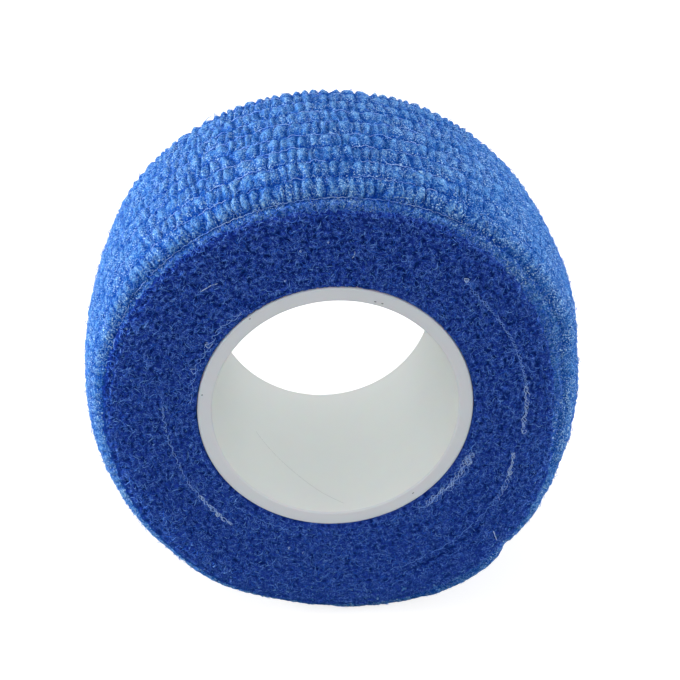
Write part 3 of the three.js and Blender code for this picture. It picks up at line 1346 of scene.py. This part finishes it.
@dataclass
class ElasticThreads:
    """The rubber threads that gather the crepe, one in each groove."""

    crepe: Crepe
    steps: int = 1280
    radius: float = 0.028
    above: float = 0.3
    arch: float = 0.08
    sides: int = 3
    tip: float = 3.4

    def build(self) -> Piece:
        """Lays each thread along its groove, arching over the puffs, with its tip past the cut.

        Its run swings over the puffs and drifts by two noises. Its lift is a share of the
        relief, less on the right, more over each puff, and raised or sunk by a third noise,
        which is weaker for the first thread, though less so on the left.

        Returns:
            All the threads and their tips.
        """
        roll, crepe = self.crepe.roll, self.crepe
        turns, runs = np.meshgrid(roll.turns(self.steps), roll.threads, indexing="xy")
        row = np.arange(len(roll.threads))[:, None] + 0.001
        first = row < 1.0

        def waver(seed: int, degrees: float, cells: int) -> Array:
            """Noise along each thread, of so many degrees a cell."""
            return Ripple(seed, cells, 30).at(turns / degrees, row * 3.3)

        scallop = dome(crepe.phase(turns, row - 0.002) % 1.0, 0.7)
        swing = 0.14 + 0.12 * waver(96, 3.0, 120)
        wavering = runs + swing * (scallop - 0.6) + 0.06 * waver(91, 4.0, 90)
        sunk = np.where(first, 0.14, 0.38) * waver(95, 4.0, 90)
        right = smoothstep(0.2, 0.7, np.cos(roll.angle(turns)))
        left = smoothstep(0.1, 0.8, -np.cos(roll.angle(turns)))
        lift = self.above * np.where(first, 1.1, 0.55) - 0.22 * right + self.arch * scallop
        lift = lift + sunk * (1.0 + 1.2 * left * first)
        base = self.laid(turns, wavering, lift)
        radii = self.radius * MM * (1.0 + 0.2 * waver(92, 1.8, 200))
        points, faces = joined([tubes(base, roll.outward(base), radii, self.sides), self.tips()])
        tone = np.full(len(points), 0.5) + 0.4 * Ripple(93, 64, 64).at(
            (points[:, 0] + 0.1) / 0.002, (points[:, 1] + points[:, 2] + 0.2) / 0.002
        )
        thing = mesh_object("elastic_threads", points, faces, {"tone": tone})
        return dress(thing, THREAD_LILAC.material(), "bandage")

    def laid(self, turns: Array, runs: Array, lift: Array) -> Array:
        """Places points by the smooth crown, so far above the bottom of the grooves.

        Args:
            turns: degrees back from the cut end.
            runs: millimetres along the tread's section.
            lift: millimetres, where the relief is at its full size.

        Returns:
            Points in metres.
        """
        roll = self.crepe.roll
        relief = np.where(runs < roll.threads[0] + 0.5, self.crepe.edge_relief, self.crepe.relief)
        rise = 0.03 + (lift / self.crepe.relief - 1.0) * relief * (1.0 - 0.75 * roll.press(turns))
        return roll.raised(turns, runs, rise)

    def tips(self) -> Part:
        """Short ends that stand out past the cut, each bent its own way.

        Returns:
            Their vertices and faces.
        """
        roll = self.crepe.roll
        rng = np.random.default_rng(94)
        count = len(roll.threads)
        share = np.linspace(0.0, 1.0, 9)[None]
        length = self.tip * rng.uniform(0.4, 1.0, (count, 1))
        turns = 0.8 - length * share
        depth = np.interp(roll.threads, roll.curve["run"], roll.curve["depth"])[:, None]
        radius = np.interp(roll.threads, roll.curve["run"], roll.curve["radius"])[:, None]
        off = roll.stand_off(np.zeros((count, 1)), depth)
        bend = rng.uniform(-0.7, 0.7, (count, 1)) * share**2
        radius = radius + off - 0.25 - 0.35 * share + 0.15 * np.sin(3.0 * share)
        paths = roll.place(turns, radius, depth + bend)
        return tubes(paths, roll.outward(paths), np.full(turns.shape, self.radius * MM), self.sides)


@dataclass(frozen=True)
class Fibres:
    """Short arcs of fibre: how those of one kind vary, in millimetres, and their draws.

    Lengths spread as a bell curve of their logarithm and bows as a bell curve. A share of the
    fibres stands free at one end, and the others lie with their middle lifted.
    """

    count: int
    log_length: float
    longest: float
    bow: float
    free: float
    stand: float
    free_lift: float
    arch_lift: float
    sunk: float
    thickness: tuple[float, float]
    tone: tuple[float, float]

    @property
    def along(self) -> Array:
        """Places of a fibre's points along it, from -0.5 to 0.5."""
        return np.linspace(-0.5, 0.5, 4)[None]

    def arcs(self, rng: np.random.Generator) -> tuple[Array, Array, Array, Array]:
        """Draws directions, lengths and bows; the middle bows sideways by a parabola.

        Args:
            rng: the generator to draw from.

        Returns:
            Cosine and sine of each direction, and of each point the way along and across.
        """
        heading = rng.uniform(0.0, 2 * np.pi, self.count)[:, None]
        length = np.clip(rng.lognormal(self.log_length, 0.45, self.count), 0.25, self.longest)
        bow = rng.normal(0.0, self.bow, self.count) * length
        bowed = bow[:, None] * (0.25 - self.along**2) * 4.0
        return np.cos(heading), np.sin(heading), length[:, None] * self.along, bowed

    def lifts(self, rng: np.random.Generator) -> Array:
        """Draws how far each point stands off: along a slope if free, else by half a sine.

        Args:
            rng: the generator to draw from.

        Returns:
            Millimetres, fibre by point.
        """
        free = rng.uniform(0.0, 1.0, (self.count, 1)) < self.free
        stand = rng.uniform(0.02, self.stand, (self.count, 1))
        share = self.along + 0.5
        slope = share * stand * self.free_lift - 0.05
        return np.where(free, slope, np.sin(np.pi * share) * stand * self.arch_lift - self.sunk)

    def piece(
        self, name: str, paths: Array, up: Array, rng: np.random.Generator, paler: Array | float = 1.0
    ) -> Piece:
        """Draws thicknesses and tones and dresses the fibres as one piece.

        Args:
            name: the piece's name.
            paths: fibre by point by 3, in metres.
            up: unit vectors across the paths.
            rng: the generator that drew the arcs.
            paler: a factor on each fibre's tone.

        Returns:
            The piece.
        """
        thick = rng.uniform(*self.thickness, (self.count, 1)) * MM
        points, faces = tubes(paths, up, np.broadcast_to(thick, paths.shape[:2]), 3)
        tone = np.repeat(rng.beta(*self.tone, self.count) * paler, len(points) // self.count)
        thing = mesh_object(name, points, faces, {"tone": tone})
        return dress(thing, FIBRE_BLUE.material(), "bandage")


@dataclass
class FaceFibres:
    """Fibre ends and curls that stand up from an end face."""

    face: EdgeFace
    count: int
    seed: int

    def build(self) -> Piece:
        """Strews arcs over the face, out to a little past its flat part.

        Returns:
            The fibres.
        """
        roll = self.face.roll
        kind = Fibres(
            self.count, log_length=-0.62, longest=1.9, bow=0.28, free=0.3, stand=0.16, free_lift=2.6,
            arch_lift=1.8, sunk=0.07, thickness=(0.024, 0.042), tone=(1.6, 3.2),
        )
        rng = np.random.default_rng(self.seed)
        spread = np.sqrt(rng.uniform(0.0, 1.0, self.count))
        angle = np.radians(rng.uniform(0.0, 360.0, self.count))
        rim = CROWN["radius"][0] + 1.2
        radius = np.sqrt(roll.hole**2 + (rim**2 - roll.hole**2) * spread**2)
        cosine, sine, straight, bowed = kind.arcs(rng)
        x = (radius * np.cos(angle))[:, None] + straight * cosine - bowed * sine
        z = (radius * np.sin(angle))[:, None] + straight * sine + bowed * cosine
        radius = np.clip(np.hypot(x, z), roll.hole + 0.05, None)
        turns = (roll.tail_angle - np.degrees(np.arctan2(z, x))) % 360.0
        turns = np.clip(turns, 0.0, 360.0 - roll.tail_wall)
        out, _ = self.face.outward(turns[:, 1:2], radius[:, 1:2])
        out = out + 0.06
        depth = self.face.base_depth(turns, radius) + self.face.end.value * (out + kind.lifts(rng) + 0.02)
        paths = roll.place(turns, radius, depth)
        name = f"edge_fibres_{self.face.end.name.lower()}"
        return kind.piece(name, paths, along_y(paths, self.face.end.value), rng)


@dataclass
class TreadFibres:
    """Fuzz on the crepe: short fibres that lie on the puffs or stand off them."""

    crepe: Crepe
    count: int = 7500
    seed: int = 61
    on_rim: float = 0.34

    def build(self) -> Piece:
        """Strews arcs over the tread, thickest on the front rim.

        Returns:
            The fibres.
        """
        roll = self.crepe.roll
        kind = Fibres(
            self.count, log_length=-0.6, longest=1.8, bow=0.25, free=0.35, stand=0.2, free_lift=2.2,
            arch_lift=1.4, sunk=0.06, thickness=(0.022, 0.038), tone=(2.0, 2.6),
        )
        rng = np.random.default_rng(self.seed)
        rim = rng.uniform(0.0, 1.0, self.count) < self.on_rim
        rim_run = rng.uniform(-1.0, 1.8, self.count)
        tread_run = rng.uniform(0.0, roll.curve["run"][-1] - 0.4, self.count)
        turn = rng.uniform(0.0, 360.0 - roll.tail_wall, self.count)
        cosine, sine, straight, bowed = kind.arcs(rng)
        degrees = np.degrees((straight * cosine - bowed * sine) / CROWN["radius"].max())
        turns = np.clip(turn[:, None] + degrees, 0.0, 360.0 - roll.tail_wall)
        runs = np.where(rim, rim_run, tread_run)[:, None] + (straight * sine + bowed * cosine)
        rise, _ = self.crepe.rise(turns[:, 1:2], runs[:, 1:2])
        rise = rise + kind.lifts(rng) * (1.0 - 0.8 * roll.press(turns)) + 0.03
        _, _, out_depth, out_radius = roll.section_at(turns, runs)
        angle = roll.angle(turns)
        up = np.stack([out_radius * np.cos(angle), out_depth, out_radius * np.sin(angle)], -1)
        paths = roll.raised(turns, runs, rise)
        return kind.piece("crepe_fibres", paths, up, rng, np.where(rim, 0.5, 1.0))


@dataclass(frozen=True)
class Strand:
    """A pale filament that has worked loose: stations of angle and radius on the front face.

    Its plies swing about the line by swing, stray from it by fray, and now and then sink
    under the felt. More shine makes it whiter and thicker.
    """

    stations: tuple[tuple[float, float], ...]
    ply: int = 2
    swing: float = 0.12
    pitch: float = 0.85
    fray: float = 0.08
    shine: float = 0.5
    sink: float = 0.1


@dataclass(frozen=True)
class Loop:
    """A small curl or knot of filament round a place on the front face."""

    angle: float
    radius: float
    size: float
    turns: float = 1.3
    shine: float = 0.8


@dataclass
class LooseFilaments:
    """Pale elastic filaments pulled out of the turns' edges on the front face."""

    face: EdgeFace
    thick: float = 0.029
    strands: tuple[Strand, ...] = (
        Strand(
            ((49.4, 20.1), (43.7, 19.5), (33.0, 19.8), (21.6, 20.0), (14.0, 20.15), (7.0, 20.3)),
            shine=0.35,
        ),
        Strand(((8.0, 20.25), (3.0, 20.3), (-3.0, 20.15), (-9.9, 20.35)), 3, 0.12, 1.0, 0.2, 0.7, 0.05),
        Strand(
            ((171.7, 18.3), (-176.0, 18.0), (-164.3, 17.8), (-150.0, 17.95), (-135.8, 18.0)),
            2, 0.1, 1.1, 0.12, 0.4,
        ),
        Strand(((-146.0, 17.95), (-135.8, 18.0), (-129.0, 18.05)), 3, 0.12, 0.9, 0.2, 0.7, 0.05),
        Strand(((126.4, 15.25), (133.0, 15.6), (139.8, 15.7), (146.9, 15.5)), 2, 0.16, 1.7, 0.1, 0.45),
        Strand(
            ((146.9, 15.5), (153.0, 15.6), (159.5, 15.5), (168.0, 15.5), (175.0, 15.35)),
            2, 0.16, 1.7, 0.1, 0.35,
        ),
        Strand(((-17.0, 20.1), (-21.0, 20.4), (-25.5, 20.8)), 3, 0.1, 0.8, 0.16, 0.75, 0.03),
        Strand(
            ((-24.8, 20.85), (-31.0, 21.1), (-38.0, 21.3), (-50.0, 21.5), (-62.0, 21.7), (-74.0, 21.9)),
            1, 0.1, 1.3, 0.1, 0.25,
        ),
        Strand(((-24.8, 20.9), (-29.0, 21.1), (-34.0, 21.3)), 2, 0.2, 1.2, 0.12, 0.5, 0.05),
        Strand(
            ((-21.0, 15.8), (-26.5, 15.75), (-34.0, 15.85), (-42.0, 15.75), (-51.0, 15.7)),
            5, 0.2, 1.4, 0.34, 0.6, 0.06,
        ),
        Strand(((-26.0, 16.1), (-34.0, 16.2), (-44.0, 16.0), (-55.0, 15.8)), 2, 0.12, 1.5, 0.3, 0.4, 0.08),
        Strand(((-134.0, 15.9), (-122.0, 15.8), (-109.0, 15.9)), 1, 0.05, 1.0, 0.1, 0.25),
        Strand(((133.0, 19.95), (130.0, 19.85), (127.3, 19.5)), 1, 0.01, 1.0, 0.02, 1.2, 0.0),
        Strand(((-42.7, 23.8), (-43.3, 24.4), (-44.6, 25.3)), 1, 0.03, 1.0, 0.05, 1.1, 0.0),
        Strand(((84.9, 17.9), (84.0, 18.3), (84.2, 18.75)), 1, 0.03, 1.0, 0.05, 0.8, 0.0),
    )
    loops: tuple[Loop, ...] = (
        Loop(48.9, 20.1, 0.26, 1.9, 1.0), Loop(-9.0, 20.4, 0.26), Loop(-135.8, 18.05, 0.26, 2.0, 1.0),
        Loop(146.9, 15.6, 0.42, 1.2, 0.9), Loop(159.5, 15.65, 0.4, 1.1, 0.6), Loop(-17.5, 20.1, 0.22, 1.7),
        Loop(-24.0, 20.75, 0.26, 2.2, 1.0), Loop(-29.5, 21.2, 0.34, 1.2, 0.5),
        Loop(-26.0, 15.85, 0.34, 2.2, 1.0), Loop(-23.5, 15.6, 0.3, 1.4, 0.8), Loop(108.0, 16.4, 0.1),
        Loop(100.6, 19.2, 0.09), Loop(92.2, 19.8, 0.08), Loop(-106.7, 18.2, 0.1), Loop(-101.5, 18.5, 0.09),
    )

    def build(self) -> Piece:
        """Builds every strand and loop into one dressed piece.

        Returns:
            The filaments.
        """
        rng = np.random.default_rng(71)
        parts, tones = [], []
        for strand in self.strands:
            for part in self.strand_parts(strand, rng):
                parts.append(part)
                tones.append(np.full(len(part[0]), strand.shine))
        for loop in self.loops:
            parts.append(self.loop_part(loop, rng))
            tones.append(np.full(len(parts[-1][0]), loop.shine))
        points, faces = joined(parts)
        thing = mesh_object("loose_filaments", points, faces, {"tone": np.concatenate(tones)})
        return dress(thing, FILAMENT_WHITE.material(), "bandage")

    def on_face(self, x: Array, z: Array, lift: Array) -> Array:
        """Places points over the front face, above its even form.

        Args:
            x, z: millimetres from the axis.
            lift: millimetres off the even form.

        Returns:
            Points in metres.
        """
        roll = self.face.roll
        radius = np.hypot(x, z)
        angle = np.degrees(np.arctan2(z, x))
        turn = (roll.tail_angle - angle) % 360.0
        return roll.place(turn, radius, self.face.base_depth(turn, radius) - 0.06 - lift)

    def strand_parts(self, strand: Strand, rng: np.random.Generator) -> list[Part]:
        """Twists the plies round the line through the stations.

        The line is a smoothed chain of the stations at even steps. Each ply swings sideways
        by a sine of its length over the pitch and up by the cosine, a share of a turn apart,
        and two slow noises stray it sideways and sink it. A strand of more shine is thicker.

        Args:
            strand: the strand.
            rng: the generator to draw from.

        Returns:
            Vertices and faces of each ply.
        """
        stations = np.array(strand.stations)
        angle = np.radians(np.unwrap(stations[:, 0], period=360.0))
        corner = np.stack([stations[:, 1] * np.cos(angle), stations[:, 1] * np.sin(angle)], -1)
        run = np.concatenate([[0.0], np.cumsum(np.linalg.norm(np.diff(corner, axis=0), axis=1))])
        count = max(8, int(run[-1] / 0.11))
        s = np.linspace(0.0, run[-1], count)
        reach = min(9, count // 3)
        kernel = np.ones(2 * reach + 1) / (2 * reach + 1)

        def smoothed(values: Array) -> Array:
            """The stations' values at even steps, averaged over the reach on both sides."""
            padded = np.pad(np.interp(s, run, values), reach, "reflect", reflect_type="odd")
            return np.convolve(padded, kernel, "valid")

        theta, radius = smoothed(angle), smoothed(stations[:, 1])
        thick = self.thick * MM * (0.7 + 0.7 * strand.shine)
        parts = []
        for ply in range(strand.ply):
            unrest = Ripple(int(rng.integers(1, 999)), 64, 8)
            phase = 2 * np.pi * (s / strand.pitch + ply / strand.ply) + 1.6 * unrest.at(s / 1.3, 2.4)
            side = 1.15 * strand.swing * np.sin(phase) + 1.3 * strand.fray * unrest.at(s / 0.8, 0.4)
            up_by = 0.1 + 0.5 * strand.swing * np.cos(phase) + 1.1 * strand.sink * unrest.at(s / 1.1, 4.6)
            x, z = (radius + side) * np.cos(theta), (radius + side) * np.sin(theta)
            parts.append(self.filament(self.on_face(x, z, up_by), thick))
        return parts

    def loop_part(self, loop: Loop, rng: np.random.Generator) -> Part:
        """Curls a filament round its place, each turn a little wider and tilted.

        Args:
            loop: the loop.
            rng: the generator to draw from.

        Returns:
            Its vertices and faces.
        """
        share = np.linspace(0.0, 1.0, 26)
        angle = rng.uniform(0.0, 2 * np.pi) + 2 * np.pi * loop.turns * share
        size = loop.size * (0.6 + 0.4 * share) * (1.0 + 0.25 * np.sin(3.0 * angle))
        centre = math.radians(loop.angle)
        x = loop.radius * math.cos(centre) + size * np.cos(angle)
        z = loop.radius * math.sin(centre) + 0.8 * size * np.sin(angle)
        return self.filament(self.on_face(x, z, 0.16 + 0.1 * np.sin(angle * 0.7)), self.thick * MM)

    @staticmethod
    def filament(path: Array, thick: float) -> Part:
        """A tube of one radius along a path; both are in metres."""
        return tubes(path[None], along_y(path[None], -1.0), np.full((1, len(path)), thick), 4)


# ---------------------------------------------------------------- studio


@dataclass
class Studio:
    """The floor, the soft lights, the pale surround and the camera.

    Distance and aim are in millimetres, the aim from the middle of the core's front. The
    floor's reach is in metres.
    """

    roll: Roll
    distance: float = 154.77
    elevation: float = 28.826
    azimuth: float = -3.483
    aim: tuple[float, float, float] = (0.431, 0.0, 8.562)
    focal_pixels: float = 1505.5
    frame_pixels: float = 680.0
    sensor: float = 36.0
    reach: float = 4.0

    def build(self) -> None:
        """Sets the scene up round the finished roll."""
        self.floor()
        self.surround(0.95, 1.05, 0.6)
        middle = self.roll.width / 2
        self.bank("left_bank", (-300.0, middle, 10.0), 1.8, (34.0, 220.0))
        self.bank("right_bank", (300.0, middle, -40.0), 1.65, (34.0, 220.0))
        self.bank("overhead", (-60.0, middle, 295.0), 0.36, (34.0, 120.0))
        self.bank("front_fill", (-120.0, -300.0, 40.0), 0.08, (70.0, 110.0))
        self.camera()
        bpy.context.scene.view_settings.view_transform = "Standard"

    def floor(self) -> None:
        """A wide pale floor just under the roll, which glows a little for the camera alone."""
        sides = ((-1, -1), (1, -1), (1, 1), (-1, 1))
        points = np.array([(self.reach * x, self.reach * y, -0.00002) for x, y in sides])
        thing = mesh_object("studio_floor", points, [np.array([[0, 1, 2, 3]])], {})
        thing.data.materials.append(FLOOR_WHITE.material())

    def surround(self, front: float, back: float, above: float) -> None:
        """A white world that the camera sees as plain white.

        Args:
            front, back: its strength towards -Y and +Y.
            above: the share of that which is left overhead.
        """
        world = bpy.data.worlds.new("studio_surround")
        world.use_nodes = True
        tree = world.node_tree
        background = tree.nodes["Background"]
        background.inputs["Color"].default_value = (1.0, 1.0, 1.0, 1.0)
        split = tree.nodes.new("ShaderNodeSeparateXYZ")
        tree.links.new(tree.nodes.new("ShaderNodeTexCoord").outputs["Generated"], split.inputs[0])
        behind = ramp_node(tree, split.outputs["Y"], -0.45, 0.5)
        level = math_node(tree, "MULTIPLY_ADD", behind, back - front, front)
        high = ramp_node(tree, split.outputs["Z"], 0.5, 0.95)
        kept = math_node(tree, "MULTIPLY_ADD", high, above - 1.0, 1.0)
        seen = tree.nodes.new("ShaderNodeLightPath").outputs["Is Camera Ray"]
        lit = math_node(tree, "MULTIPLY", level, kept)
        tree.links.new(math_node(tree, "MAXIMUM", lit, seen), background.inputs["Strength"])
        bpy.context.scene.world = world

    def bank(
        self, name: str, place: tuple[float, float, float], power: float, size: tuple[float, float]
    ) -> None:
        """A soft light at a place in millimetres from the roll's front, aimed at its axis.

        The side banks are little wider than the roll, so they light the tread and never shine
        into the core.

        Args:
            name: the light's name.
            place: millimetres from the middle of the core's front.
            power: watts.
            size: its two sides, in millimetres.
        """
        light = bpy.data.lights.new(name, "AREA")
        light.shape = "RECTANGLE"
        light.size, light.size_y = size[0] * MM, size[1] * MM
        light.energy = power
        lamp = bpy.data.objects.new(name, light)
        bpy.context.scene.collection.objects.link(lamp)
        lamp.location = self.roll.axis + np.array(place) * MM
        aim = Vector(self.roll.axis + np.array([0.0, max(place[1], 0.0), 0.0]) * MM) - lamp.location
        lamp.rotation_mode = "QUATERNION"
        lamp.rotation_quaternion = aim.to_track_quat("-Z", "Y")

    def camera(self) -> None:
        """Stands the camera back from its aim along its azimuth and elevation."""
        data = bpy.data.cameras.new("camera")
        data.sensor_width = self.sensor
        data.lens = self.focal_pixels / self.frame_pixels * self.sensor
        data.clip_start = 0.01
        thing = bpy.data.objects.new("camera", data)
        bpy.context.scene.collection.objects.link(thing)
        a, e = math.radians(self.azimuth), math.radians(self.elevation)
        back = Vector((math.sin(a) * math.cos(e), -math.cos(a) * math.cos(e), math.sin(e)))
        aim = Vector(self.roll.axis + np.array(self.aim) * MM)
        thing.location = aim + back * (self.distance * MM)
        thing.rotation_mode = "QUATERNION"
        thing.rotation_quaternion = back.to_track_quat("Z", "Y")
        bpy.context.scene.camera = thing


# ---------------------------------------------------------------- making


def main() -> None:
    """Builds the roll, then the studio."""
    logging.basicConfig(level=logging.INFO, format="%(name)s: %(message)s")
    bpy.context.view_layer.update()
    roll = Roll()
    crepe = Crepe(roll)
    front, back = EdgeFace(roll, End.FRONT), EdgeFace(roll, End.BACK, seed=41)
    CoreTube(roll).build()
    OuterTurn(crepe).build()
    TurnEdges(front, columns=1000, rows=66).build()
    TurnEdges(back, columns=800, rows=46).build()
    ElasticThreads(crepe).build()
    FaceFibres(front, count=8000, seed=51).build()
    FaceFibres(back, count=3600, seed=52).build()
    TreadFibres(crepe).build()
    LooseFilaments(front).build()
    Studio(roll).build()


if __name__ == "__main__":
    main()
